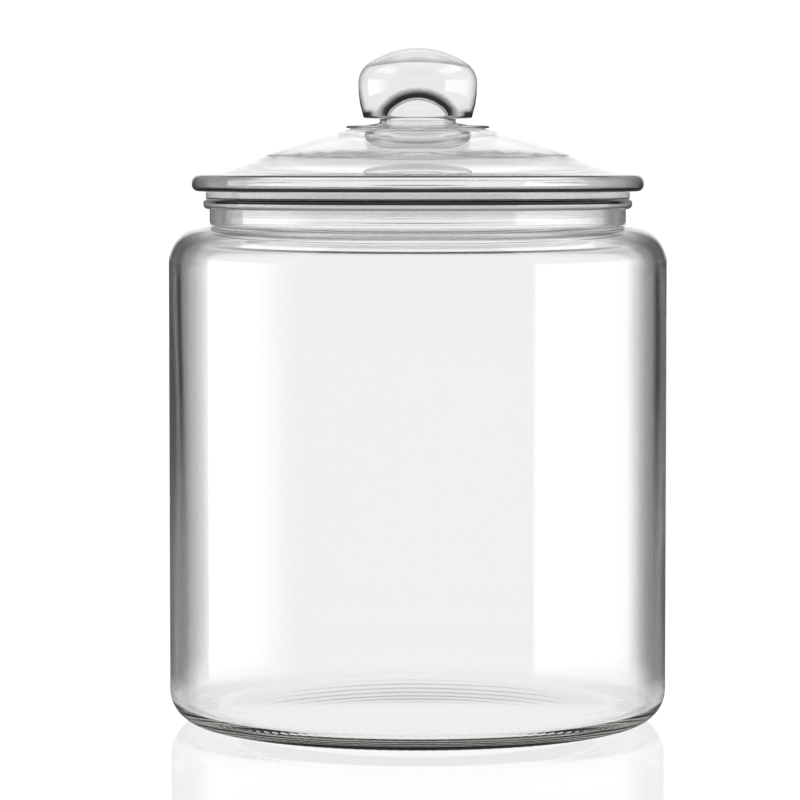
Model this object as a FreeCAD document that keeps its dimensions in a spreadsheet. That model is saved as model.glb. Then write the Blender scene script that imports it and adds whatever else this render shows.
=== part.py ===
"""Lidded glass canister: a glass jar, its loose glass lid with a knob, and the seal ring between them.

Millimetres, +Z up.  The origin is on the axis, in the plane that the jar stands on.
Every piece is a solid of revolution, so each one is a single outline in the half plane:
r is the distance from the axis and z the height.
"""
import FreeCAD, Part
import math
import os
import re
import Sketcher

SIZES = {
    # Jar, from the foot up
    "body_radius": 95.0,
    "body_wall": 4.0,
    "heel_radius": 12.5,
    "foot_width": 6.0,
    "push_up": 2.0,
    "floor_thickness": 6.2,
    "inner_heel_radius": 5.0,
    "shoulder_height": 189.9,
    "shoulder_radius": 14.5,
    # Neck and rim bead
    "neck_fillet": 1.1,
    "neck_straight": 5.2,
    "neck_wall": 4.2,
    "bead_reach": 2.4,
    "bead_underside": 1.6,
    "bead_face": 1.2,
    "rim_rounding": 0.9,
    "mouth_rounding": 1.2,
    # Seal ring: a washer on the rim, and a sleeve with fins that hangs in the mouth
    "seal_thickness": 2.9,
    "seal_setback": 0.9,
    "seal_rounding": 0.4,
    "sleeve_wall": 1.6,
    "sleeve_tail": 0.8,
    "fin_reach": 1.5,
    "fin_thickness": 0.9,
    "fin_spacing": 1.4,
    "fin_clearance": 0.4,
    "fit_clearance": 0.3,
    # Lid: plug, flange and dome
    "plug_wall": 5.0,
    "lip_reach": 0.7,
    "lip_height": 1.2,
    "flange_overhang": 4.4,
    "flange_rounding": 2.5,
    "flange_face": 1.3,
    "sweep_radius": 75.0,
    "step_radius": 58.0,
    "step_rise": 6.9,
    "step_width": 0.6,
    "step_height": 0.7,
    "dome_radius": 150.0,
    "dome_height": 17.3,
    "dome_wall": 6.4,
    "ceiling_radius": 132.0,
    "ceiling_edge": 2.0,
    # Lid: collar, stem and knob
    "collar_radius": 27.4,
    "collar_overhang": 1.6,
    "collar_gap": 0.4,
    "collar_rounding": 0.45,
    "collar_rise": 1.1,
    "stem_radius": 14.5,
    "stem_fillet": 0.9,
    "knob_radius": 22.8,
    "knob_height": 26.9,
    "knob_inset": 1.9,
    "knob_lip": 1.0,
    "knob_edge": 9.5,
    "knob_crown": 33.0,
    "recess_radius": 11.0,
    "recess_rise": 12.0,
    "recess_rounding": 9.0,
}
FIN_COUNT = 2

# Places on the jar
FOOT_OUTER = "(body_radius - heel_radius)"
FOOT_INNER = f"({FOOT_OUTER} - foot_width)"
PUSH_UP_ARC = f"(({FOOT_INNER}^2 + push_up^2) / (2 * push_up))"
BODY_INNER = "(body_radius - body_wall)"
SHOULDER_START = "(shoulder_height - shoulder_radius)"
SHOULDER_CENTRE = "(body_radius - shoulder_radius)"
NECK_RADIUS = f"({SHOULDER_CENTRE} - neck_fillet)"
NECK_START = "(shoulder_height + neck_fillet)"
MOUTH_RADIUS = f"({NECK_RADIUS} - neck_wall)"
SHOULDER_INNER = "(shoulder_height - body_wall)"
THROAT_RADIUS = "(neck_fillet + neck_wall)"
BEAD_RADIUS = f"({NECK_RADIUS} + bead_reach)"
BEAD_BOTTOM = f"({NECK_START} + neck_straight)"
BEAD_MIDDLE = f"({BEAD_BOTTOM} + bead_underside)"
BEAD_ARC = "((bead_reach^2 + bead_underside^2) / (2 * bead_reach))"
JAR_HEIGHT = f"({BEAD_MIDDLE} + bead_face + rim_rounding)"

# Places on the seal, with the rim's plane at zero height
SEAL_RADIUS = f"({BEAD_RADIUS} - seal_setback)"
FIN_RADIUS = f"({MOUTH_RADIUS} - fin_clearance)"
SLEEVE_OUTER = f"({FIN_RADIUS} - fin_reach)"
SLEEVE_INNER = f"({SLEEVE_OUTER} - sleeve_wall)"
SLEEVE_DEPTH = f"(sleeve_tail + {FIN_COUNT} * (fin_thickness + fin_spacing))"

# Places on the lid, with the flange's underside at zero height
LID_SEAT = f"({JAR_HEIGHT} + seal_thickness)"
PLUG_RADIUS = f"({SLEEVE_INNER} - fit_clearance)"
PLUG_INNER = f"({PLUG_RADIUS} - plug_wall)"
LIP_RADIUS = f"({PLUG_RADIUS} + lip_reach)"
LIP_TOP = f"(-seal_thickness - {SLEEVE_DEPTH} - fit_clearance)"
PLUG_BOTTOM = f"({LIP_TOP} - lip_height)"
FLANGE_RADIUS = f"({BEAD_RADIUS} + flange_overhang)"
FLANGE_EDGE = f"({FLANGE_RADIUS} - flange_rounding)"
FLANGE_TOP = "(2 * flange_rounding + flange_face)"
STEP_BOTTOM = f"({FLANGE_TOP} + step_rise)"
DOME_TOP = f"({FLANGE_TOP} + dome_height)"
CEILING = f"({DOME_TOP} - dome_wall)"
COLLAR_ROOT = "(collar_radius - collar_overhang)"
COLLAR_EDGE = "(collar_radius - collar_rounding)"
COLLAR_BOTTOM = f"({DOME_TOP} + collar_gap)"
COLLAR_LIP = f"({COLLAR_BOTTOM} + 2 * collar_rounding)"
COLLAR_TOP = f"({COLLAR_LIP} + collar_rise)"
STEM_EDGE = "(stem_radius + stem_fillet)"
KNOB_BASE = f"({COLLAR_TOP} + 2 * stem_fillet)"
KNOB_TOP = f"({KNOB_BASE} + knob_height)"
RECESS_TOP = f"({KNOB_BASE} + recess_rise)"

# The knob's edge arc touches its crown arc from inside, so their centres lie one radius difference apart
EDGE_OFFSET = "(knob_radius - knob_edge)"
ARC_SPAN = "(knob_crown - knob_edge)"
EDGE_RISE = f"sqrt({ARC_SPAN}^2 - {EDGE_OFFSET}^2)"
CROWN_CENTRE = f"({KNOB_TOP} - knob_crown)"
KNOB_WAIST = f"({CROWN_CENTRE} + {EDGE_RISE})"
CROWN_EDGE_R = f"(knob_crown * {EDGE_OFFSET} / {ARC_SPAN})"
CROWN_EDGE_Z = f"({CROWN_CENTRE} + knob_crown * {EDGE_RISE} / {ARC_SPAN})"
KNOB_FOOT = "(knob_radius - knob_inset)"
KNOB_LIP_TOP = f"({KNOB_BASE} + knob_lip)"
KNOB_SIDE_ARC = f"((({KNOB_WAIST} - {KNOB_LIP_TOP})^2 + knob_inset^2) / (2 * knob_inset))"

LEFT = 1
RIGHT = -1


def bound(text):
    """The expression with each size written as a cell of the sheet; names before a bracket are functions."""
    return re.sub(r"\b([a-z][a-z_]*)\b(?!\()", r"Sizes.\1", text)


def make_sheet(doc):
    """Sheet with one named cell for each size."""
    sheet = doc.addObject("Spreadsheet::Sheet", "Sizes")
    for row, (name, size) in enumerate(SIZES.items(), start=1):
        sheet.set(f"A{row}", name)
        sheet.set(f"B{row}", str(size))
        sheet.setAlias(f"B{row}", name)
    doc.recompute()
    return sheet


def arc_between(start, end, radius, turn):
    """Arc of under half a circle from start to end, on the side that a left or right turn takes."""
    chord = end - start
    across = FreeCAD.Vector(-chord.y, chord.x, 0).normalize() * turn
    depth = math.sqrt(max(radius ** 2 - (chord.Length / 2) ** 2, 0))
    centre = (start + end) * 0.5 + across * depth
    first, last = (start, end) if turn == LEFT else (end, start)
    angles = [math.atan2(point.y - centre.y, point.x - centre.x) for point in (first, last)]
    circle = Part.Circle(centre, FreeCAD.Vector(0, 0, 1), radius)
    return Part.ArcOfCircle(circle, *angles)


def draw_outline(body, corners):
    """Closed sketch on the body's XZ plane, every corner and radius tied to the sheet.

    A corner is (r, z) where a straight run ends, or (r, z, radius, turn) where an arc ends.
    The run to the first corner starts from the last one.
    """
    sketch = body.newObject("Sketcher::SketchObject", f"{body.Label}_outline")
    plane = next(feature for feature in body.Origin.OriginFeatures if feature.Role == "XZ_Plane")
    sketch.AttachmentSupport = (plane, [""])
    sketch.MapMode = "FlatFace"

    def size(text):
        return float(sketch.evalExpression(bound(text)))

    def tie(constraint, text):
        sketch.setExpression(f"Constraints[{sketch.addConstraint(constraint)}]", bound(text))

    places = [FreeCAD.Vector(size(corner[0]), size(corner[1]), 0) for corner in corners]
    ends = []
    for index, corner in enumerate(corners):
        start, end = places[index - 1], places[index]
        turn = LEFT
        if len(corner) == 2:
            run = sketch.addGeometry(Part.LineSegment(start, end))
        else:
            radius, turn = size(corner[2]), corner[3]
            run = sketch.addGeometry(arc_between(start, end, radius, turn))
        ends.append((run, 1, 2) if turn == LEFT else (run, 2, 1))
    for index, corner in enumerate(corners):
        run, _, last = ends[index]
        following, first, _ = ends[(index + 1) % len(ends)]
        sketch.addConstraint(Sketcher.Constraint("Coincident", run, last, following, first))
        if corner[0] == "0":
            sketch.addConstraint(Sketcher.Constraint("PointOnObject", run, last, -2))
        else:
            tie(Sketcher.Constraint("DistanceX", -1, 1, run, last, places[index].x), corner[0])
        if corner[1] == "0":
            sketch.addConstraint(Sketcher.Constraint("PointOnObject", run, last, -1))
        else:
            tie(Sketcher.Constraint("DistanceY", -1, 1, run, last, places[index].y), corner[1])
        if len(corner) == 4:
            tie(Sketcher.Constraint("Radius", run, size(corner[2])), corner[2])
    return sketch


def turned_piece(doc, name, seat, corners):
    """Body turned once round the axis from its outline, with its zero height at the seat."""
    body = doc.addObject("PartDesign::Body", name)
    body.Label = name
    sketch = draw_outline(body, corners)
    turned = body.newObject("PartDesign::Revolution", f"{name}_turned")
    turned.Profile = sketch
    turned.ReferenceAxis = (sketch, ["V_Axis"])
    turned.Angle = 360.0
    body.setExpression("Placement.Base.z", bound(seat))
    return body


def make_jar(doc):
    """Jar: outside from the foot up to the rim, then down the inside to the floor."""
    outside = [
        ("0", "push_up"),
        (FOOT_INNER, "0", PUSH_UP_ARC, RIGHT),
        (FOOT_OUTER, "0"),
        ("body_radius", "heel_radius", "heel_radius", LEFT),
        ("body_radius", SHOULDER_START),
        (SHOULDER_CENTRE, "shoulder_height", "shoulder_radius", LEFT),
        (NECK_RADIUS, NECK_START, "neck_fillet", RIGHT),
        (NECK_RADIUS, BEAD_BOTTOM),
        (BEAD_RADIUS, BEAD_MIDDLE, BEAD_ARC, LEFT),
        (BEAD_RADIUS, f"{JAR_HEIGHT} - rim_rounding"),
        (f"{BEAD_RADIUS} - rim_rounding", JAR_HEIGHT, "rim_rounding", LEFT),
    ]
    inside = [
        (f"{MOUTH_RADIUS} + mouth_rounding", JAR_HEIGHT),
        (MOUTH_RADIUS, f"{JAR_HEIGHT} - mouth_rounding", "mouth_rounding", LEFT),
        (MOUTH_RADIUS, f"{SHOULDER_INNER} + {THROAT_RADIUS}"),
        (SHOULDER_CENTRE, SHOULDER_INNER, THROAT_RADIUS, LEFT),
        (BODY_INNER, SHOULDER_START, "shoulder_radius - body_wall", RIGHT),
        (BODY_INNER, "floor_thickness + inner_heel_radius"),
        (f"{BODY_INNER} - inner_heel_radius", "floor_thickness", "inner_heel_radius", RIGHT),
        ("0", "floor_thickness"),
    ]
    return turned_piece(doc, "jar", "0", outside + inside)


def make_seal(doc):
    """Seal ring: sleeve and fins from the bottom up, then round the washer."""
    sleeve = [
        (SLEEVE_INNER, f"-{SLEEVE_DEPTH}"),
        (SLEEVE_OUTER, f"-{SLEEVE_DEPTH}"),
    ]
    for fin in range(FIN_COUNT, 0, -1):
        top = f"(-{fin} * fin_spacing - {fin - 1} * fin_thickness)"
        sleeve += [
            (SLEEVE_OUTER, f"{top} - fin_thickness"),
            (FIN_RADIUS, f"{top} - fin_thickness"),
            (FIN_RADIUS, top),
            (SLEEVE_OUTER, top),
        ]
    washer = [
        (SLEEVE_OUTER, "0"),
        (f"{SEAL_RADIUS} - seal_rounding", "0"),
        (SEAL_RADIUS, "seal_rounding", "seal_rounding", LEFT),
        (SEAL_RADIUS, "seal_thickness - seal_rounding"),
        (f"{SEAL_RADIUS} - seal_rounding", "seal_thickness", "seal_rounding", LEFT),
        (SLEEVE_INNER, "seal_thickness"),
    ]
    return turned_piece(doc, "lid_seal", JAR_HEIGHT, sleeve + washer)


def make_lid(doc):
    """Lid: hollow underside from the recess out to the plug, then flange, dome, collar and knob."""
    underside = [
        ("0", RECESS_TOP),
        ("recess_radius", f"{RECESS_TOP} - recess_radius", "recess_radius", RIGHT),
        ("recess_radius", f"{CEILING} + recess_rounding"),
        ("recess_radius + recess_rounding", CEILING, "recess_rounding", LEFT),
        (PLUG_INNER, "ceiling_edge", "ceiling_radius", RIGHT),
    ]
    plug = [
        (PLUG_INNER, PLUG_BOTTOM),
        (LIP_RADIUS, PLUG_BOTTOM),
        (LIP_RADIUS, LIP_TOP),
        (PLUG_RADIUS, LIP_TOP),
        (PLUG_RADIUS, "0"),
    ]
    flange = [
        (FLANGE_EDGE, "0"),
        (FLANGE_RADIUS, "flange_rounding", "flange_rounding", LEFT),
        (FLANGE_RADIUS, "flange_rounding + flange_face"),
        (FLANGE_EDGE, FLANGE_TOP, "flange_rounding", LEFT),
    ]
    dome = [
        ("step_radius + step_width", STEP_BOTTOM, "sweep_radius", RIGHT),
        ("step_radius", f"{STEP_BOTTOM} + step_height"),
        (COLLAR_ROOT, DOME_TOP, "dome_radius", LEFT),
    ]
    collar = [
        (COLLAR_ROOT, COLLAR_BOTTOM),
        (COLLAR_EDGE, COLLAR_BOTTOM),
        ("collar_radius", f"{COLLAR_BOTTOM} + collar_rounding", "collar_rounding", LEFT),
        (COLLAR_EDGE, COLLAR_LIP, "collar_rounding", LEFT),
        (STEM_EDGE, COLLAR_TOP),
        ("stem_radius", f"{COLLAR_TOP} + stem_fillet", "stem_fillet", RIGHT),
        (STEM_EDGE, KNOB_BASE, "stem_fillet", RIGHT),
    ]
    knob = [
        (f"{KNOB_FOOT} - knob_lip", KNOB_BASE),
        (KNOB_FOOT, KNOB_LIP_TOP, "knob_lip", LEFT),
        ("knob_radius", KNOB_WAIST, KNOB_SIDE_ARC, LEFT),
        (CROWN_EDGE_R, CROWN_EDGE_Z, "knob_edge", LEFT),
        ("0", KNOB_TOP, "knob_crown", LEFT),
    ]
    return turned_piece(doc, "lid", LID_SEAT, underside + plug + flange + dome + collar + knob)


def check(doc, bodies):
    """Stop before anything is written if a feature failed or a piece isn't one valid solid."""
    failed = [item.Name for item in doc.Objects if {"Invalid", "Error"} & set(item.State)]
    if failed:
        raise RuntimeError(f"failed: {', '.join(failed)}")
    for body in bodies:
        if body.Shape.isNull() or not body.Shape.isValid() or len(body.Shape.Solids) != 1:
            raise RuntimeError(f"{body.Label} is not one valid solid")


def main():
    doc = FreeCAD.newDocument("canister")
    make_sheet(doc)
    bodies = [make_jar(doc), make_seal(doc), make_lid(doc)]
    doc.recompute()
    check(doc, bodies)
    os.makedirs("parts", exist_ok=True)
    for body in bodies:
        body.Shape.exportStep(f"parts/{body.Label}.step")
        box = body.Shape.optimalBoundingBox()
        print(f"{body.Label}: {body.Shape.Volume / 1000:.1f} cm3, z {box.ZMin:.2f} to {box.ZMax:.2f} mm,"
              f" {box.XLength:.2f} mm across")


main()
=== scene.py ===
import math

import bpy
import numpy as np
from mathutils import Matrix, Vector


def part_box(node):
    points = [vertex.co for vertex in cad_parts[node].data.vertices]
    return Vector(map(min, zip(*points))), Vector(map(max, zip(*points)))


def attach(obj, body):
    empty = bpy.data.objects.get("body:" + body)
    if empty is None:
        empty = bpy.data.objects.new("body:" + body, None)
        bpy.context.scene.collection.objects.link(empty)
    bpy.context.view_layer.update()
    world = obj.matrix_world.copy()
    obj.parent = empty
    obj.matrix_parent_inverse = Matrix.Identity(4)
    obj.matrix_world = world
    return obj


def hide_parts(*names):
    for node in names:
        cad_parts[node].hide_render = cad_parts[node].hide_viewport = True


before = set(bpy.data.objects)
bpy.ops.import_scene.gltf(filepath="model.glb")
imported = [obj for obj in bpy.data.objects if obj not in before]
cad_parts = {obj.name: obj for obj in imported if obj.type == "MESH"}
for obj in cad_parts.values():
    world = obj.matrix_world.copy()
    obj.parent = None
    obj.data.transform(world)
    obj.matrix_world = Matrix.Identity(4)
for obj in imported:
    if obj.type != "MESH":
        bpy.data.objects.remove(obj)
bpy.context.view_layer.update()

millimetre = 0.001
scene = bpy.context.scene
print("frame loaded:", ", ".join(sorted(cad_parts)))


# Nodes and colours

def hexColour(code):  # sRGB hex to linear, with full alpha
    srgb = np.array([int(code[start:start + 2], 16) for start in (1, 3, 5)]) / 255
    linear = np.where(srgb <= 0.04045, srgb / 12.92, ((srgb + 0.055) / 1.055) ** 2.4)
    return (*linear.tolist(), 1.0)


def grey(level):  # already linear
    return (level, level, level, 1.0)


def addNode(tree, kind, settings=None, links=None):  # keys are property names, or input names or numbers
    node = tree.nodes.new(kind)
    for key, value in (settings or {}).items():
        if isinstance(key, str) and hasattr(node, key):
            setattr(node, key, value)
        else:
            node.inputs[key].default_value = value
    for key, socket in (links or {}).items():
        tree.links.new(socket, node.inputs[key])
    return node


def setRamp(node, stops):  # stops are (place from 0 to 1, linear colour), in order
    elements = node.color_ramp.elements
    elements.remove(elements[1])
    for index, (place, colour) in enumerate(stops):
        element = elements[0] if index == 0 else elements.new(place)
        element.position = place
        element.color = colour


def newMaterial(name):  # empty node tree with its output
    material = bpy.data.materials.new(name)
    material.use_nodes = True
    material.node_tree.nodes.clear()
    output = addNode(material.node_tree, "ShaderNodeOutputMaterial")
    return material, material.node_tree, output


# Turned shapes

facets = {                      # how finely an outline is divided, in degrees and millimetres
    "arcStep": 7.0,             # turn of one step on an arc
    "roundingStep": 15.0,       # and on a rounded corner
    "leastSteps": 3,            # on any arc
    "arcSpacing": 6.0,          # length of an arc's chord for each step on it, at most
    "runSpacing": 12.0,         # length of a straight run for each point on it, about
    "guard": 0.35,              # first and last step of a straight run, so that shading stays flat between
}


def arcRun(start, end, radius, step=facets["arcStep"]):
    # Points after start on the arc to end; a positive radius turns left, a negative one right.
    # The centre stands off the chord's middle by the root of radius squared less half the chord squared.
    chord = end - start
    half = np.hypot(*chord) / 2
    left = np.array([-chord[1], chord[0]]) / (2 * half)
    offset = math.copysign(math.sqrt(max(radius ** 2 - half ** 2, 0)), radius)
    centre = (start + end) / 2 + left * offset
    sweep = math.copysign(2 * math.asin(min(half / abs(radius), 1)), radius)
    steps = max(facets["leastSteps"], math.ceil(math.degrees(abs(sweep)) / step),
                math.ceil(2 * half / facets["arcSpacing"]))
    angle = math.atan2(*(start - centre)[::-1]) + sweep * np.linspace(0, 1, steps + 1)[1:]
    return centre + abs(radius) * np.stack([np.cos(angle), np.sin(angle)], 1)


def straightRun(start, end):
    # Points after start on the line to end, with one close to each end
    length = np.hypot(*(end - start))
    guard = min(facets["guard"], length / 4)
    along = np.linspace(guard, length - guard, max(2, math.ceil(length / facets["runSpacing"])))
    along = np.append(along, length) / length
    return start + along[:, None] * (end - start)


def outline(corners):
    # Corners in millimetres: (r, z) ends a straight run, (r, z, radius) ends an arc,
    # and (r, z, 0, rounding) is a corner between straight runs that is rounded off.
    places = np.array([corner[:2] for corner in corners], float)
    runs = [places[:1]]
    here = places[0]
    for index in range(1, len(corners)):
        corner, place = corners[index], places[index]
        if len(corner) == 3:
            runs.append(arcRun(here, place, corner[2]))
        elif len(corner) == 4:
            into = (place - here) / np.hypot(*(place - here))
            onward = places[index + 1] - place
            onward = onward / np.hypot(*onward)
            turn = math.atan2(into[0] * onward[1] - into[1] * onward[0], into @ onward)
            setback = corner[3] * math.tan(abs(turn) / 2)
            bendStart = place - into * setback
            bendEnd = place + onward * setback
            runs.append(straightRun(here, bendStart))
            runs.append(arcRun(bendStart, bendEnd, math.copysign(corner[3], turn), facets["roundingStep"]))
        else:
            runs.append(straightRun(here, place))
        here = runs[-1][-1]
    return np.concatenate(runs)


def turnedMesh(name, profile, spokes, relief=None, closed=False):
    # Profile carried round the axis: x is r cos a, y is r sin a, z stays. Unless it is closed, it starts
    # and ends on the axis. Relief is added along its outward normal, in millimetres, point by point.
    angle = np.linspace(0, 2 * math.pi, spokes, endpoint=False)
    ahead, behind = np.roll(profile, -1, 0), np.roll(profile, 1, 0)
    if not closed:
        ahead[-1], behind[0] = profile[-1], profile[0]
    along = ahead - behind
    normal = np.stack([along[:, 1], -along[:, 0]], 1) / np.hypot(along[:, 0], along[:, 1])[:, None]
    depth = np.zeros((len(profile), spokes)) if relief is None else relief(profile, angle)
    radius = profile[:, :1] + normal[:, :1] * depth
    height = profile[:, 1:] + normal[:, 1:] * depth
    grid = np.stack([radius * np.cos(angle), radius * np.sin(angle), height], 2) * millimetre
    points = grid.reshape(-1, 3)
    ring = np.arange(len(points)).reshape(len(profile), spokes)
    if not closed:  # each pole keeps one of its points
        points = points[spokes - 1:1 - spokes]
        ring = np.clip(ring - spokes + 1, 0, len(points) - 1)
    following = np.roll(ring, -1, 0)
    quads = np.stack([ring, np.roll(ring, -1, 1), np.roll(following, -1, 1), following], 2)
    if closed:
        faces = quads.reshape(-1, 4).tolist()
    else:  # triangles round the poles
        faces = quads[1:-2].reshape(-1, 4).tolist() + quads[0, :, 1:].tolist() + quads[-2, :, :3].tolist()
    mesh = bpy.data.meshes.new(name)
    mesh.from_pydata(points.tolist(), [], faces)
    mesh.validate()
    mesh.shade_smooth()
    piece = bpy.data.objects.new(name, mesh)
    scene.collection.objects.link(piece)
    return piece


def mount(piece, material, body, node):  # finish, body and CAD node of a piece; the CAD node is hidden
    piece.data.materials.append(material)
    piece.visible_diffuse = False  # clear pieces hardly shade the white floor
    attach(piece, body)
    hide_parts(node)
    print("made", piece.name, len(piece.data.polygons), "faces")


# Glass

glass = {                       # a face's turn from the eye is 0 where it is seen square on, and 1 edge on
    "ior": 1.52,                # soda-lime
    "specular": 0.5,            # plain glass, away from the painted dark lines
    "tint": "#9a9c88",          # colour that long paths through the thick base take on
    "rippleDepth": 0.02,        # millimetres
    "rippleStrength": 0.35,
    "rippleDetail": 1.5,        # how many times a ripple carries one half its size
    "rippleFade": 0.4,          # how strong each of those is beside the last
    "haze": 0.012,              # roughness on the crests of the ripples
    "hazeBand": (0.35, 0.75),   # ripple heights, of 1, between which the haze sets in
    "outward": (0.15, 0.3),     # how far a face points out from the axis as the painted dark lines set in on it
    "lineEnds": (0.65, 0.85),   # turn from the eye over which a painted line thins out
    "lineEndShare": 0.3,        # what is left of the painted line there
    "flank": (0.2, 0.5),        # turn from the eye over which a flank takes on painted shade
    "brink": (0.5, 0.85),       # turn from the eye over which the very edge takes on painted shade
}


def glassSkin(tree, place, piece):
    # Ripples from the mould's chill: they bend the reflections a little, and their crests are slightly hazy
    ripple = addNode(tree, "ShaderNodeTexNoise",
                     {"Scale": 1 / (piece["rippleSize"] * millimetre), "Detail": glass["rippleDetail"],
                      "Roughness": glass["rippleFade"]},
                     {"Vector": place.outputs["Object"]})
    bend = addNode(tree, "ShaderNodeBump",
                   {"Strength": glass["rippleStrength"], "Distance": glass["rippleDepth"] * millimetre},
                   {"Height": ripple.outputs["Fac"]})
    trough, crest = glass["hazeBand"]
    haze = addNode(tree, "ShaderNodeMapRange",
                   {"From Min": trough, "From Max": crest, "To Max": glass["haze"]},
                   {"Value": ripple.outputs["Fac"]})
    return bend.outputs["Normal"], haze.outputs["Result"]


def sharesByHeight(tree, height, stops):
    # Three shares for every height, which change evenly from one stop to the next
    lowest, highest = stops[0][0], stops[-1][0]
    level = addNode(tree, "ShaderNodeMapRange",
                    {"From Min": lowest * millimetre, "From Max": highest * millimetre}, {"Value": height})
    ramp = addNode(tree, "ShaderNodeValToRGB", None, {"Fac": level.outputs["Result"]})
    setRamp(ramp, [((stop - lowest) / (highest - lowest), (*shares, 1)) for stop, *shares in stops])
    return addNode(tree, "ShaderNodeSeparateColor", None, {"Color": ramp.outputs["Color"]}).outputs


def paintedRimShade(tree, place, slant, shares, piece):
    # Painted shade: white on faces seen square on, and a painted dark rim on upright ones that turn away;
    # others have a share of it
    rim = addNode(tree, "ShaderNodeValToRGB", None, {"Fac": slant.outputs["Facing"]})
    setRamp(rim, [(turn, hexColour(code)) for turn, code in piece["rim"]])
    facing = addNode(tree, "ShaderNodeSeparateXYZ", None, {"Vector": place.outputs["Normal"]})
    lying = addNode(tree, "ShaderNodeMath", {"operation": "ABSOLUTE"}, {0: facing.outputs["Z"]})
    upTo, past = piece["upright"]
    upright = addNode(tree, "ShaderNodeMapRange", {"From Min": past, "From Max": upTo},
                      {"Value": lying.outputs["Value"]})
    share = addNode(tree, "ShaderNodeMath", {"operation": "MAXIMUM"},
                    {0: upright.outputs["Result"], 1: shares["Blue"]})
    strength = addNode(tree, "ShaderNodeMath", {"operation": "MULTIPLY"},
                       {0: share.outputs["Value"], 1: shares["Green"]})
    passed = addNode(tree, "ShaderNodeMix", {"data_type": "RGBA", 6: (1, 1, 1, 1)},
                     {"Factor": strength.outputs["Value"], 7: rim.outputs["Color"]})
    return passed.outputs[2]


def paintedShadeInside(tree, slant, side, shares, piece):
    # Painted shade where light goes round inside the wall: each face that it meets from within is painted
    # darker by a share
    insideShade = addNode(tree, "ShaderNodeValToRGB", None, {"Fac": slant.outputs["Facing"]})
    setRamp(insideShade, [(turn, grey(amount)) for turn, amount in piece["insideShade"]])
    within = addNode(tree, "ShaderNodeMath", {"operation": "MULTIPLY"},
                     {0: insideShade.outputs["Color"], 1: side.outputs["Backfacing"]})
    shadeWithin = addNode(tree, "ShaderNodeMath", {"operation": "MULTIPLY"},
                   {0: within.outputs["Value"], 1: shares["Red"]})
    return shadeWithin.outputs["Value"]


def paintedLinesOutside(tree, place, slant, side, height, piece):
    # Painted dark lines, and painted shade on flanks and edges, at their heights, on faces that point out
    # from the axis, met from outside
    flat = addNode(tree, "ShaderNodeVectorMath", {"operation": "MULTIPLY", 1: (1, 1, 0)},
                   {0: place.outputs["Object"]})
    away = addNode(tree, "ShaderNodeVectorMath", {"operation": "NORMALIZE"}, {0: flat.outputs["Vector"]})
    outward = addNode(tree, "ShaderNodeVectorMath", {"operation": "DOT_PRODUCT"},
                      {0: away.outputs["Vector"], 1: place.outputs["Normal"]})
    outer = addNode(tree, "ShaderNodeMapRange",
                    {"From Min": glass["outward"][0], "From Max": glass["outward"][1]},
                    {"Value": outward.outputs["Value"]})
    front = addNode(tree, "ShaderNodeMapRange", {"To Min": 1.0, "To Max": 0.0},
                    {"Value": side.outputs["Backfacing"]})
    skin = addNode(tree, "ShaderNodeMath", {"operation": "MULTIPLY"},
                   {0: outer.outputs["Result"], 1: front.outputs["Result"]})
    marks = sharesByHeight(tree, height, piece["edges"])
    ends = addNode(tree, "ShaderNodeMapRange",
                   {"From Min": glass["lineEnds"][0], "From Max": glass["lineEnds"][1],
                    "To Min": 1.0, "To Max": glass["lineEndShare"]},
                   {"Value": slant.outputs["Facing"]})
    line = addNode(tree, "ShaderNodeMath", {"operation": "MULTIPLY"},
                   {0: marks["Red"], 1: ends.outputs["Result"]})
    flank = addNode(tree, "ShaderNodeMapRange",
                    {"From Min": glass["flank"][0], "From Max": glass["flank"][1]},
                    {"Value": slant.outputs["Facing"], "To Max": marks["Green"]})
    brink = addNode(tree, "ShaderNodeMapRange",
                    {"From Min": glass["brink"][0], "From Max": glass["brink"][1]},
                    {"Value": slant.outputs["Facing"], "To Max": marks["Blue"]})
    shaded = addNode(tree, "ShaderNodeMath", {"operation": "MAXIMUM"},
                     {0: flank.outputs["Result"], 1: brink.outputs["Result"]})
    drawn = addNode(tree, "ShaderNodeMath", {"operation": "MAXIMUM"},
                    {0: line.outputs["Value"], 1: shaded.outputs["Value"]})
    lines = addNode(tree, "ShaderNodeMath", {"operation": "MULTIPLY"},
                    {0: drawn.outputs["Value"], 1: skin.outputs["Value"]})
    return lines.outputs["Value"]


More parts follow.
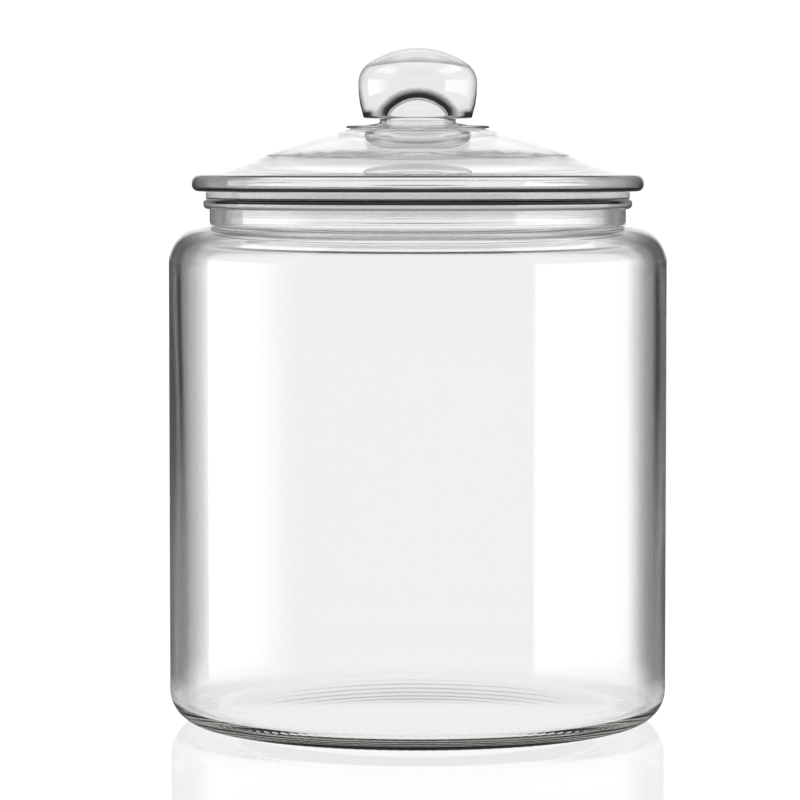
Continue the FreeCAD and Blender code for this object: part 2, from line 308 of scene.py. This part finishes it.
def makeGlass(name, piece):
    # Clear soda-lime glass with a smooth skin: sharp reflections that waver a little, a grey-green cast
    # where the eye looks through a long stretch of it, a painted dark rim where it looks along the wall, and
    # painted near-black lines and shade round its edges and on faces met from inside
    material, tree, output = newMaterial(name)
    place = addNode(tree, "ShaderNodeTexCoord")
    side = addNode(tree, "ShaderNodeNewGeometry")
    slant = addNode(tree, "ShaderNodeLayerWeight", {"Blend": 0.5})  # Facing is then the turn from the eye
    spot = addNode(tree, "ShaderNodeSeparateXYZ", None, {"Vector": place.outputs["Object"]})
    shares = sharesByHeight(tree, spot.outputs["Z"], piece["byHeight"])
    # painted shade: the more of that inside and that outside; it darkens what passes and takes away
    # transmission and shine
    dark = addNode(tree, "ShaderNodeMath", {"operation": "MAXIMUM"},
                   {0: paintedShadeInside(tree, slant, side, shares, piece),
                    1: paintedLinesOutside(tree, place, slant, side, spot.outputs["Z"], piece)})
    shown = addNode(tree, "ShaderNodeMix", {"data_type": "RGBA", 7: (0, 0, 0, 1)},
                    {"Factor": dark.outputs["Value"], 6: paintedRimShade(tree, place, slant, shares, piece)})
    clear = addNode(tree, "ShaderNodeMapRange", {"To Min": 1.0, "To Max": 0.0},
                    {"Value": dark.outputs["Value"]})
    shine = addNode(tree, "ShaderNodeMapRange", {"To Min": glass["specular"], "To Max": 0.0},
                    {"Value": dark.outputs["Value"]})
    normal, haze = glassSkin(tree, place, piece)
    shader = addNode(tree, "ShaderNodeBsdfPrincipled", {"IOR": glass["ior"]},
                     {"Base Color": shown.outputs[2], "Roughness": haze, "Normal": normal,
                      "Transmission Weight": clear.outputs["Result"],
                      "Specular IOR Level": shine.outputs["Result"]})
    cast = addNode(tree, "ShaderNodeVolumeAbsorption",
                   {"Color": hexColour(glass["tint"]), "Density": piece["density"]})
    tree.links.new(shader.outputs["BSDF"], output.inputs["Surface"])
    tree.links.new(cast.outputs["Volume"], output.inputs["Volume"])
    return material


# Jar

jar = {                         # millimetres
    "bodyRadius": 95.0, "wall": 4.0, "heel": 12.5, "innerHeel": 5.0,
    "footWidth": 6.0, "pushUp": 2.0, "floor": 6.2,
    "shoulderHeight": 189.9, "shoulder": 14.5,
    "neckFillet": 1.1, "neckStraight": 5.2, "neckWall": 4.2,
    "beadReach": 2.4, "beadUnderside": 1.6, "rimRounding": 0.9, "mouthRounding": 1.2,
    "spokes": 520,
    "stippleBars": 130, "stippleDepth": 0.12,
    "stippleEdge": 1.5,         # width over which the stipple sets in on the bearing ring
    "stippleHeight": 0.6,       # height at which it has died away on the heel
    "swell": 0.12,              # how far the inside of the blown wall wavers
    "swellHeights": (20.0, 45.0, 155.0, 175.0),  # where it starts, is whole, begins to fade and ends
    # waves of the swell: how many round the jar, share, phase, and the height over which it drifts a radian
    "swellWaves": [(2, 1.0, 1.1, 70.0), (5, 0.6, 0.4, -45.0), (9, 0.35, 0.0, 30.0)],
    "rippleSize": 38.0,
    "density": 5.0,             # absorption per metre before the tint
    # vertical share of a face's normal up to which it has the whole painted dark rim, and past which it has
    # none
    "upright": (0.85, 0.99),
    # turn from the eye, and what passes in the painted dark rim
    "rim": [
        (0.0, "#ffffff"), (0.53, "#ffffff"), (0.562, "#dadada"), (0.6, "#b0b0b0"), (0.64, "#9d9d9d"),
        (0.686, "#969696"), (0.741, "#898989"), (0.819, "#757575"), (0.9, "#757575"), (0.95, "#636363"),
        (1.0, "#0c0c0c"),
    ],
    # turn of a face from a ray inside the glass, and how much painted shade it gets
    "insideShade": [
        (0.236, 0.0), (0.2445, 0.9), (0.2515, 1.0), (0.257, 0.5), (0.275, 0.5), (0.29, 0.9), (0.36, 0.9),
        (0.45, 0.5), (0.58, 0.4), (0.6, 0.0),
    ],
    # height, then the strength of the painted shade inside, the strength of the painted dark rim, and the
    # share of that rim on faces that aren't upright
    "byHeight": [
        (0, 0.0, 0.3, 0), (12, 0.0, 0.3, 0), (20, 0.4, 1.0, 0), (70, 0.55, 1.0, 0), (130, 0.95, 1.0, 0),
        (178, 0.95, 1.0, 0), (181, 0.9, 1.0, 0), (184.3, 0.0, 1.0, 0), (191, 0.0, 0.9, 0),
        (199.9, 0.0, 0.9, 0),
    ],
    # height, then how dark a painted line runs round the outside, and the painted shade on its flanks where
    # they turn away and on its edge
    "edges": [
        (170, 0, 0, 0), (174, 0, 0, 0.4), (178, 0, 0.15, 0.85), (184, 0, 0.15, 0.8), (186.5, 0, 0.05, 0.4),
        (189, 0, 0, 0.1), (190.6, 0, 0, 0.1), (191, 0, 0.4, 0.4), (195.9, 0, 0.4, 0.4),
        (196.2, 0.75, 0.4, 0.4), (196.9, 0.75, 0.3, 0.4), (197.3, 0.3, 0.3, 0.4), (198.1, 0.3, 0.3, 0.4),
        (198.3, 0.98, 0.3, 0.4), (198.9, 0.98, 0.3, 0.4), (199.05, 0.94, 0.3, 0.4), (199.2, 0.94, 0.3, 0.4),
        (199.35, 1.0, 0.3, 0.4), (199.9, 1.0, 0.3, 0.4),
    ],
}
jar["height"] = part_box("jar")[1].z / millimetre
jar["footRadius"] = jar["bodyRadius"] - jar["heel"]
jar["footInner"] = jar["footRadius"] - jar["footWidth"]
jar["shoulderCentre"] = jar["bodyRadius"] - jar["shoulder"]
jar["neckRadius"] = jar["shoulderCentre"] - jar["neckFillet"]
jar["mouthRadius"] = jar["neckRadius"] - jar["neckWall"]
jar["beadRadius"] = jar["neckRadius"] + jar["beadReach"]
jar["innerRadius"] = jar["bodyRadius"] - jar["wall"]


def jarProfile():
    shoulderStart = jar["shoulderHeight"] - jar["shoulder"]
    neckStart = jar["shoulderHeight"] + jar["neckFillet"]
    beadStart = neckStart + jar["neckStraight"]
    shoulderInner = jar["shoulderHeight"] - jar["wall"]
    throat = jar["neckFillet"] + jar["neckWall"]
    pushUpArc = (jar["footInner"] ** 2 + jar["pushUp"] ** 2) / (2 * jar["pushUp"])
    beadArc = (jar["beadReach"] ** 2 + jar["beadUnderside"] ** 2) / (2 * jar["beadReach"])
    outside = [
        (0, jar["pushUp"]),
        (jar["footInner"], 0, -pushUpArc),
        (jar["footRadius"], 0),
        (jar["bodyRadius"], jar["heel"], jar["heel"]),
        (jar["bodyRadius"], shoulderStart),
        (jar["shoulderCentre"], jar["shoulderHeight"], jar["shoulder"]),
        (jar["neckRadius"], neckStart, -jar["neckFillet"]),
        (jar["neckRadius"], beadStart),
        (jar["beadRadius"], beadStart + jar["beadUnderside"], beadArc),
        (jar["beadRadius"], jar["height"] - jar["rimRounding"]),
        (jar["beadRadius"] - jar["rimRounding"], jar["height"], jar["rimRounding"]),
    ]
    inside = [
        (jar["mouthRadius"] + jar["mouthRounding"], jar["height"]),
        (jar["mouthRadius"], jar["height"] - jar["mouthRounding"], jar["mouthRounding"]),
        (jar["mouthRadius"], shoulderInner + throat),
        (jar["shoulderCentre"], shoulderInner, throat),
        (jar["innerRadius"], shoulderStart, jar["wall"] - jar["shoulder"]),
        (jar["innerRadius"], jar["floor"] + jar["innerHeel"]),
        (jar["innerRadius"] - jar["innerHeel"], jar["floor"], -jar["innerHeel"]),
        (0, jar["floor"]),
    ]
    return outline(outside + inside)


def jarRelief(profile, angle):
    # Stipple: the bearing ring is cut back by a raised cosine round the foot, deepest between bars.
    # Blown wall: the inside swells and thins by three slow sine waves round the axis, drifting with height.
    radius, height = profile[:, :1], profile[:, 1:]
    onRing = np.clip((radius - jar["footInner"]) / jar["stippleEdge"], 0, 1)
    onRing = onRing * np.clip(1 - height / jar["stippleHeight"], 0, 1)
    bars = 0.5 - 0.5 * np.cos(jar["stippleBars"] * angle)
    inside = np.arange(len(profile))[:, None] > np.argmax(height)
    onWall = inside * np.interp(height, jar["swellHeights"], (0, 1, 1, 0))
    waves = sum(share * np.sin(count * angle + phase + height / drift)
                for count, share, phase, drift in jar["swellWaves"])
    return jar["swell"] * onWall * waves - jar["stippleDepth"] * onRing * bars


jarPiece = turnedMesh("jar_glass", jarProfile(), jar["spokes"], jarRelief)
mount(jarPiece, makeGlass("fire_polished_soda_lime_glass", jar), "jar", "jar")


# Seal

seal = {                        # millimetres
    "thickness": 2.9, "setback": 0.9, "rounding": 0.4, "sleeveWall": 1.6, "tail": 0.8,
    "finReach": 1.5, "finThickness": 0.9, "finSpacing": 1.4, "fins": 2, "finClearance": 0.4,
    "soft": 0.25,               # rounding of the moulded corners
    "spokes": 320,
    "ior": 1.41, "transmission": 0.93,
    "milk": ("#e6e6e5", "#eeeeed"),
    "cloudSize": 12.0,          # patches where the milky colour is a little stronger
    "cloudDetail": 3.0,
    "grainSize": 0.6,           # the mould's texture, drawn coarser than it is so that it shows
    "grainDetail": 2.0, "grainDepth": 0.03, "grainStrength": 0.2,
    "satin": (0.12, 0.2),       # least and most roughness of the grain
    "shadow": (0.04, 0.5),      # heights above the rim between which the foot has a painted shadow
}
seal["seat"] = jar["height"]
seal["finRadius"] = jar["mouthRadius"] - seal["finClearance"]
seal["sleeveOuter"] = seal["finRadius"] - seal["finReach"]
seal["sleeveInner"] = seal["sleeveOuter"] - seal["sleeveWall"]
seal["radius"] = jar["beadRadius"] - seal["setback"]
seal["depth"] = seal["tail"] + seal["fins"] * (seal["finThickness"] + seal["finSpacing"])


def sealProfile():
    bottom = seal["seat"] - seal["depth"]
    top = seal["seat"] + seal["thickness"]
    sleeveMiddle = seal["sleeveInner"] + seal["sleeveWall"] / 2
    corners = [(sleeveMiddle, bottom), (seal["sleeveOuter"], bottom, 0, seal["soft"])]
    for fin in range(seal["fins"], 0, -1):
        finTop = seal["seat"] - fin * seal["finSpacing"] - (fin - 1) * seal["finThickness"]
        finBottom = finTop - seal["finThickness"]
        corners += [
            (seal["sleeveOuter"], finBottom, 0, seal["soft"]),
            (seal["finRadius"], finBottom, 0, seal["soft"]),
            (seal["finRadius"], finTop, 0, seal["soft"]),
            (seal["sleeveOuter"], finTop, 0, seal["soft"]),
        ]
    corners += [
        (seal["sleeveOuter"], seal["seat"], 0, seal["soft"]),
        (seal["radius"], seal["seat"], 0, seal["rounding"]),
        (seal["radius"], top, 0, seal["rounding"]),
        (seal["sleeveInner"], top, 0, seal["soft"]),
        (seal["sleeveInner"], bottom, 0, seal["soft"]),
        (sleeveMiddle, bottom),
    ]
    return outline(corners)[:-1]


def makeSilicone():
    # Translucent moulded silicone: milky and even, satin from the mould's fine texture, and a painted shadow
    # along the foot, where the lid presses it on the rim
    material, tree, output = newMaterial("moulded_clear_silicone")
    place = addNode(tree, "ShaderNodeTexCoord")
    cloud = addNode(tree, "ShaderNodeTexNoise",
                    {"Scale": 1 / (seal["cloudSize"] * millimetre), "Detail": seal["cloudDetail"]},
                    {"Vector": place.outputs["Object"]})
    milk = addNode(tree, "ShaderNodeValToRGB", None, {"Fac": cloud.outputs["Fac"]})
    setRamp(milk, [(share, hexColour(code)) for share, code in enumerate(seal["milk"])])
    spot = addNode(tree, "ShaderNodeSeparateXYZ", None, {"Vector": place.outputs["Object"]})
    lowest, highest = seal["shadow"]
    middle = seal["seat"] + (lowest + highest) / 2
    # painted shadow: black in a thin band along the foot
    shadowBand = addNode(tree, "ShaderNodeMath",
                   {"operation": "COMPARE", 1: middle * millimetre, 2: (highest - lowest) / 2 * millimetre},
                   {0: spot.outputs["Z"]})
    paintedFootShadow = addNode(tree, "ShaderNodeMix", {"data_type": "RGBA", 7: (0, 0, 0, 1)},
                      {"Factor": shadowBand.outputs["Value"], 6: milk.outputs["Color"]})
    grain = addNode(tree, "ShaderNodeTexNoise",
                    {"Scale": 1 / (seal["grainSize"] * millimetre), "Detail": seal["grainDetail"]},
                    {"Vector": place.outputs["Object"]})
    satin = addNode(tree, "ShaderNodeMapRange", {"To Min": seal["satin"][0], "To Max": seal["satin"][1]},
                    {"Value": grain.outputs["Fac"]})
    skin = addNode(tree, "ShaderNodeBump",
                   {"Strength": seal["grainStrength"], "Distance": seal["grainDepth"] * millimetre},
                   {"Height": grain.outputs["Fac"]})
    shader = addNode(tree, "ShaderNodeBsdfPrincipled",
                     {"IOR": seal["ior"], "Transmission Weight": seal["transmission"]},
                     {"Base Color": paintedFootShadow.outputs[2], "Roughness": satin.outputs["Result"],
                      "Normal": skin.outputs["Normal"]})
    tree.links.new(shader.outputs["BSDF"], output.inputs["Surface"])
    return material


sealPiece = turnedMesh("seal_ring", sealProfile(), seal["spokes"], closed=True)
mount(sealPiece, makeSilicone(), "seal_ring", "lid_seal")


# Lid

lid = {                         # millimetres; the finish is listed as on the jar
    "fitClearance": 0.3, "plugWall": 5.0, "lipReach": 0.7, "lipHeight": 1.2,
    "flangeOverhang": 4.4, "flangeRounding": 2.5, "flangeFace": 1.3,
    "sweep": 75.0, "stepRadius": 58.0, "stepRise": 6.9, "stepWidth": 0.6, "stepHeight": 0.7,
    "dome": 150.0, "domeHeight": 17.3, "domeWall": 6.4, "ceiling": 132.0, "ceilingEdge": 2.0,
    "collarRadius": 27.4, "collarOverhang": 1.6, "collarGap": 0.4, "collarRounding": 0.45,
    "collarRise": 1.1,
    "stemRadius": 14.5, "stemFillet": 0.9,
    "knobRadius": 22.8, "knobInset": 1.9, "knobLip": 1.0, "knobEdge": 9.5, "knobCrown": 33.0,
    "recessRadius": 11.0, "recessRise": 12.0, "recessRounding": 9.0,
    "soft": 0.5,                # rounding of the pressed corners
    "spokes": 384,
    "rippleSize": 24.0, "density": 3.0, "upright": (0.2, 0.7),
    # painted dark rim, then painted shade inside, listed as on the jar
    "rim": [(0.0, "#ffffff"), (0.6, "#ffffff"), (0.7, "#d4d4d4"), (0.82, "#a0a0a0"), (1.0, "#404040")],
    "insideShade": [
        (0.236, 0.0), (0.2445, 0.9), (0.2515, 1.0), (0.257, 0.5), (0.275, 0.5), (0.3, 1.0), (0.42, 1.0),
        (0.6, 0.75), (0.75, 0.4), (1.0, 0.0),
    ],
    "byHeight": [
        (0, 0.0, 1.0, 0), (226, 0.0, 1.0, 0), (227, 0.5, 1.0, 0), (229, 0.5, 1.0, 0), (230, 0.99, 1.0, 1),
        (257.5, 0.99, 1.0, 1),
    ],
    # painted lines and shade as on the jar, round the flange, collar and knob, and a light painted shade
    # over the dome
    "edges": [
        (202.6, 0, 0, 0), (202.8, 0.98, 0.98, 0.98), (204.1, 0.96, 0.98, 0.98), (204.6, 0.2, 0.65, 0.9),
        (205.5, 0, 0.6, 0.85), (208.1, 0, 0.6, 0.85), (208.3, 0.92, 0.6, 0.9), (208.9, 0.92, 0.6, 0.9),
        (209.1, 0, 0.3, 0), (209.6, 0, 0, 0), (210.2, 0, 0.4, 0), (215.8, 0, 0.55, 0), (216.8, 0, 0.4, 0),
        (224, 0, 0.3, 0), (226.5, 0, 0.15, 0), (226.8, 0, 0.9, 0), (227.8, 0, 0.9, 0), (228.2, 0, 0, 0),
        (230.5, 0, 0, 0), (230.7, 0, 0.98, 0.5), (232.6, 0, 0.97, 0.5), (234.5, 0, 0.15, 0.2),
        (236, 0, 0.1, 0.2),
    ],
}
lid["seat"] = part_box("lid_seal")[1].z / millimetre
lid["top"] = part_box("lid")[1].z / millimetre
lid["plugRadius"] = seal["sleeveInner"] - lid["fitClearance"]
lid["flangeRadius"] = jar["beadRadius"] + lid["flangeOverhang"]


def lidProfile():
    plugInner = lid["plugRadius"] - lid["plugWall"]
    lipRadius = lid["plugRadius"] + lid["lipReach"]
    lipTop = lid["seat"] - seal["thickness"] - seal["depth"] - lid["fitClearance"]
    plugBottom = lipTop - lid["lipHeight"]
    flangeEdge = lid["flangeRadius"] - lid["flangeRounding"]
    flangeTop = lid["seat"] + 2 * lid["flangeRounding"] + lid["flangeFace"]
    stepBottom = flangeTop + lid["stepRise"]
    domeTop = flangeTop + lid["domeHeight"]
    ceilingHeight = domeTop - lid["domeWall"]
    collarRoot = lid["collarRadius"] - lid["collarOverhang"]
    collarEdge = lid["collarRadius"] - lid["collarRounding"]
    collarBottom = domeTop + lid["collarGap"]
    collarLip = collarBottom + 2 * lid["collarRounding"]
    collarTop = collarLip + lid["collarRise"]
    stemEdge = lid["stemRadius"] + lid["stemFillet"]
    knobBase = collarTop + 2 * lid["stemFillet"]
    knobFoot = lid["knobRadius"] - lid["knobInset"]
    lipEnd = knobBase + lid["knobLip"]
    recessTop = knobBase + lid["recessRise"]
    edgeOffset = lid["knobRadius"] - lid["knobEdge"]  # the edge arc touches the crown arc from inside
    arcSpan = lid["knobCrown"] - lid["knobEdge"]
    edgeRise = math.sqrt(arcSpan ** 2 - edgeOffset ** 2)
    crownCentre = lid["top"] - lid["knobCrown"]
    crownScale = lid["knobCrown"] / arcSpan
    waist = crownCentre + edgeRise
    sideArc = ((waist - lipEnd) ** 2 + lid["knobInset"] ** 2) / (2 * lid["knobInset"])
    underside = [
        (0, recessTop),
        (lid["recessRadius"], recessTop - lid["recessRadius"], -lid["recessRadius"]),
        (lid["recessRadius"], ceilingHeight + lid["recessRounding"]),
        (lid["recessRadius"] + lid["recessRounding"], ceilingHeight, lid["recessRounding"]),
        (plugInner, lid["seat"] + lid["ceilingEdge"], -lid["ceiling"]),
        (plugInner, plugBottom, 0, lid["soft"]),
        (lipRadius, plugBottom, 0, lid["soft"]),
        (lipRadius, lipTop, 0, lid["soft"] / 2),
        (lid["plugRadius"], lipTop, 0, lid["soft"] / 2),
        (lid["plugRadius"], lid["seat"], 0, lid["soft"]),
    ]
    flange = [
        (flangeEdge, lid["seat"]),
        (lid["flangeRadius"], lid["seat"] + lid["flangeRounding"], lid["flangeRounding"]),
        (lid["flangeRadius"], flangeTop - lid["flangeRounding"]),
        (flangeEdge, flangeTop, lid["flangeRounding"]),
        (lid["stepRadius"] + lid["stepWidth"], stepBottom, -lid["sweep"]),
        (lid["stepRadius"], stepBottom + lid["stepHeight"]),
        (collarRoot, domeTop, lid["dome"]),
    ]
    knob = [
        (collarRoot, collarBottom),
        (collarEdge, collarBottom),
        (lid["collarRadius"], collarBottom + lid["collarRounding"], lid["collarRounding"]),
        (collarEdge, collarLip, lid["collarRounding"]),
        (stemEdge, collarTop),
        (lid["stemRadius"], collarTop + lid["stemFillet"], -lid["stemFillet"]),
        (stemEdge, knobBase, -lid["stemFillet"]),
        (knobFoot - lid["knobLip"], knobBase),
        (knobFoot, lipEnd, lid["knobLip"]),
        (lid["knobRadius"], waist, sideArc),
        (crownScale * edgeOffset, crownCentre + crownScale * edgeRise, lid["knobEdge"]),
        (0, lid["top"], lid["knobCrown"]),
    ]
    return outline(underside + flange + knob)


lidPiece = turnedMesh("lid_glass", lidProfile(), lid["spokes"])
mount(lidPiece, makeGlass("pressed_soda_lime_glass", lid), "lid", "lid")


# Stage and light

stage = {
    "floorRadius": 3.0,         # metres
    "floorSides": 96,
    "floorColour": "#f9f9fb",
    "floorBehindGlass": "#efeff0",  # as it shows through the glass
    "floorRoughness": 0.04, "floorIor": 1.07, "floorSpecular": 0.5,
    "gloss": (0.3, 0.45),       # metres from the axis over which the floor stops mirroring the jar
    "room": 1.1,                # plain white all round, as the camera sees it
    "floorLight": 1.07,         # as the floor sees it
    "behind": 0.92,             # as it shows through the glass
    # soft panels as the glass mirrors them: degrees up over which a row takes over from the row below it,
    # then degrees right of straight behind and how bright the row is there
    "rows": [
        ((-90, -89), [
            (-180, 0.4), (-124, 0.4), (-50, 0.7), (-46, 0.12),
            (46, 0.12), (50, 0.7), (124, 0.4), (180, 0.4),
        ]),
        ((-7.6, -7.2), [
            (-180, 0.4), (-124, 0.4), (-100, 3.4), (-69, 4.2), (-67.5, 0.7), (-50, 0.7), (-46, 0.12),
            (46, 0.12), (54, 0.5), (80, 3.0), (124.5, 4.2), (126, 0.4), (180, 0.4),
        ]),
        ((-0.5, 0.5), [
            (-180, 0.4), (-124, 0.4), (-100, 3.4), (-69, 4.2), (-67, 0.25), (-18, 0.25), (-12, 1.2),
            (12, 1.2), (18, 0.25), (50, 0.25), (54, 0.9), (80, 3.0), (124, 4.2), (126, 0.4), (180, 0.4),
        ]),
        ((8, 11), [
            (-180, 0.4), (-126, 0.4), (-122, 0.9), (-69, 0.9), (-67, 0.25), (-18, 0.25), (-12, 1.2),
            (12, 1.2), (18, 0.25), (50, 0.25), (54, 0.9), (124, 0.9), (126, 0.4), (180, 0.4),
        ]),
        ((20, 26), [
            (-180, 0.4), (-126, 0.4), (-122, 0.9), (-69, 0.9), (-66, 0.4), (-26, 0.4), (-18, 1.7),
            (18, 1.7), (26, 0.4), (50, 0.4), (54, 0.9), (124, 0.9), (128, 0.4), (180, 0.4),
        ]),
        ((32, 38), [
            (-180, 0.4), (-126, 0.4), (-122, 3.0), (-69, 3.0), (-66, 0.4), (-26, 0.4), (-18, 1.7),
            (18, 1.7), (26, 0.4), (50, 0.4), (54, 3.0), (124, 3.0), (128, 0.4), (180, 0.4),
        ]),
        ((52, 64), [(-180, 1.2), (180, 1.2)]),
    ],
}


def makeAcrylic():
    # White acrylic sheet, polished: even white, with a faint mirror image of the jar close round its foot
    material, tree, output = newMaterial("white_acrylic_sheet")
    path = addNode(tree, "ShaderNodeLightPath")
    sheet = addNode(tree, "ShaderNodeMix",
                    {"data_type": "RGBA", 6: hexColour(stage["floorColour"]),
                     7: hexColour(stage["floorBehindGlass"])},
                    {"Factor": path.outputs["Is Transmission Ray"]})
    place = addNode(tree, "ShaderNodeTexCoord")
    away = addNode(tree, "ShaderNodeVectorMath", {"operation": "LENGTH"}, {0: place.outputs["Object"]})
    near = addNode(tree, "ShaderNodeMapRange",
                   {"From Min": stage["gloss"][0], "From Max": stage["gloss"][1],
                    "To Min": stage["floorSpecular"], "To Max": 0.0},
                   {"Value": away.outputs["Value"]})
    gloss = addNode(tree, "ShaderNodeMapRange", {"To Max": 0.0},
                    {"Value": path.outputs["Is Transmission Ray"], "To Min": near.outputs["Result"]})
    shader = addNode(tree, "ShaderNodeBsdfPrincipled",
                     {"Roughness": stage["floorRoughness"], "IOR": stage["floorIor"]},
                     {"Base Color": sheet.outputs[2], "Specular IOR Level": gloss.outputs["Result"]})
    tree.links.new(shader.outputs["BSDF"], output.inputs["Surface"])
    return material


def makeFloor():
    # One flat face under the foot: x is R cos a, y is R sin a
    angle = np.linspace(0, 2 * math.pi, stage["floorSides"], endpoint=False)
    edge = np.stack([np.cos(angle), np.sin(angle), np.zeros_like(angle)], 1) * stage["floorRadius"]
    mesh = bpy.data.meshes.new("floor")
    mesh.from_pydata(edge.tolist(), [], [list(range(len(edge)))])
    mesh.materials.append(makeAcrylic())
    floor = bpy.data.objects.new("floor", mesh)
    scene.collection.objects.link(floor)
    floor.visible_glossy = False  # the glass mirrors the room's lowest rows in its place


def heightShare(degrees):  # of the room's height, from 0 straight down to 1 straight up
    return (math.sin(math.radians(degrees)) + 1) / 2


def makeRoom():
    # White studio: even light for the floor and behind the glass, and soft panels that mirror in the glass
    world = bpy.data.worlds.new("white_studio")
    scene.world = world
    world.use_nodes = True
    world.cycles.sampling_method = "NONE"
    tree = world.node_tree
    tree.nodes.clear()
    place = addNode(tree, "ShaderNodeTexCoord")
    split = addNode(tree, "ShaderNodeSeparateXYZ", None, {"Vector": place.outputs["Generated"]})
    height = addNode(tree, "ShaderNodeMapRange", {"From Min": -1.0}, {"Value": split.outputs["Z"]})
    turn = addNode(tree, "ShaderNodeMath", {"operation": "ARCTAN2"},
                   {0: split.outputs["X"], 1: split.outputs["Y"]})
    around = addNode(tree, "ShaderNodeMapRange", {"From Min": -math.pi, "From Max": math.pi},
                     {"Value": turn.outputs["Value"]})
    mirrored = None
    for (fromHeight, toHeight), panels in stage["rows"]:
        row = addNode(tree, "ShaderNodeValToRGB", None, {"Fac": around.outputs["Result"]})
        setRamp(row, [((angle + 180) / 360, grey(level)) for angle, level in panels])
        if mirrored is None:
            mirrored = row.outputs["Color"]
            continue
        rise = addNode(tree, "ShaderNodeMapRange",
                       {"From Min": heightShare(fromHeight), "From Max": heightShare(toHeight)},
                       {"Value": height.outputs["Result"]})
        blend = addNode(tree, "ShaderNodeMix", {"data_type": "RGBA"},
                        {"Factor": rise.outputs["Result"], 6: mirrored, 7: row.outputs["Color"]})
        mirrored = blend.outputs[2]
    path = addNode(tree, "ShaderNodeLightPath")
    glassy = addNode(tree, "ShaderNodeMix", {"data_type": "RGBA", 7: grey(stage["behind"])},
                     {"Factor": path.outputs["Is Transmission Ray"], 6: mirrored})
    lit = addNode(tree, "ShaderNodeMix", {"data_type": "RGBA", 7: grey(stage["floorLight"])},
                  {"Factor": path.outputs["Is Diffuse Ray"], 6: glassy.outputs[2]})
    seen = addNode(tree, "ShaderNodeMix", {"data_type": "RGBA", 7: grey(stage["room"])},
                   {"Factor": path.outputs["Is Camera Ray"], 6: lit.outputs[2]})
    light = addNode(tree, "ShaderNodeBackground", None, {"Color": seen.outputs[2]})
    output = addNode(tree, "ShaderNodeOutputWorld")
    tree.links.new(light.outputs["Background"], output.inputs["Surface"])


makeFloor()
makeRoom()
print("stage set")


# Camera

photo = {
    "frame": 800, "axisX": 417.7, "focalPixels": 3922,            # pixels of the square photograph
    "distance": 1.5, "eyeHeight": 0.213, "aimHeight": 0.1229,     # metres
    "sensor": 36.0,                                               # millimetres
}
cameraData = bpy.data.cameras.new("camera")
cameraData.sensor_width = photo["sensor"]
cameraData.lens = photo["focalPixels"] * photo["sensor"] / photo["frame"]
camera = bpy.data.objects.new("camera", cameraData)
scene.collection.objects.link(camera)
camera.location = (0, -photo["distance"], photo["eyeHeight"])
tilt = math.atan2(photo["aimHeight"] - photo["eyeHeight"], photo["distance"])
pan = math.atan2(photo["axisX"] - photo["frame"] / 2, photo["focalPixels"])
camera.rotation_euler = (math.pi / 2 + tilt, 0, pan)
scene.camera = camera
print("camera set, lens", round(cameraData.lens, 1), "mm")

lightPaths = {
    "bounces": 32,              # glass behind glass needs many
    "glossy": 16,               # more would wash out its dark lines
}
scene.view_settings.view_transform = "Standard"
scene.cycles.max_bounces = lightPaths["bounces"]
scene.cycles.transmission_bounces = lightPaths["bounces"]
scene.cycles.glossy_bounces = lightPaths["glossy"]
scene.cycles.use_denoising = True
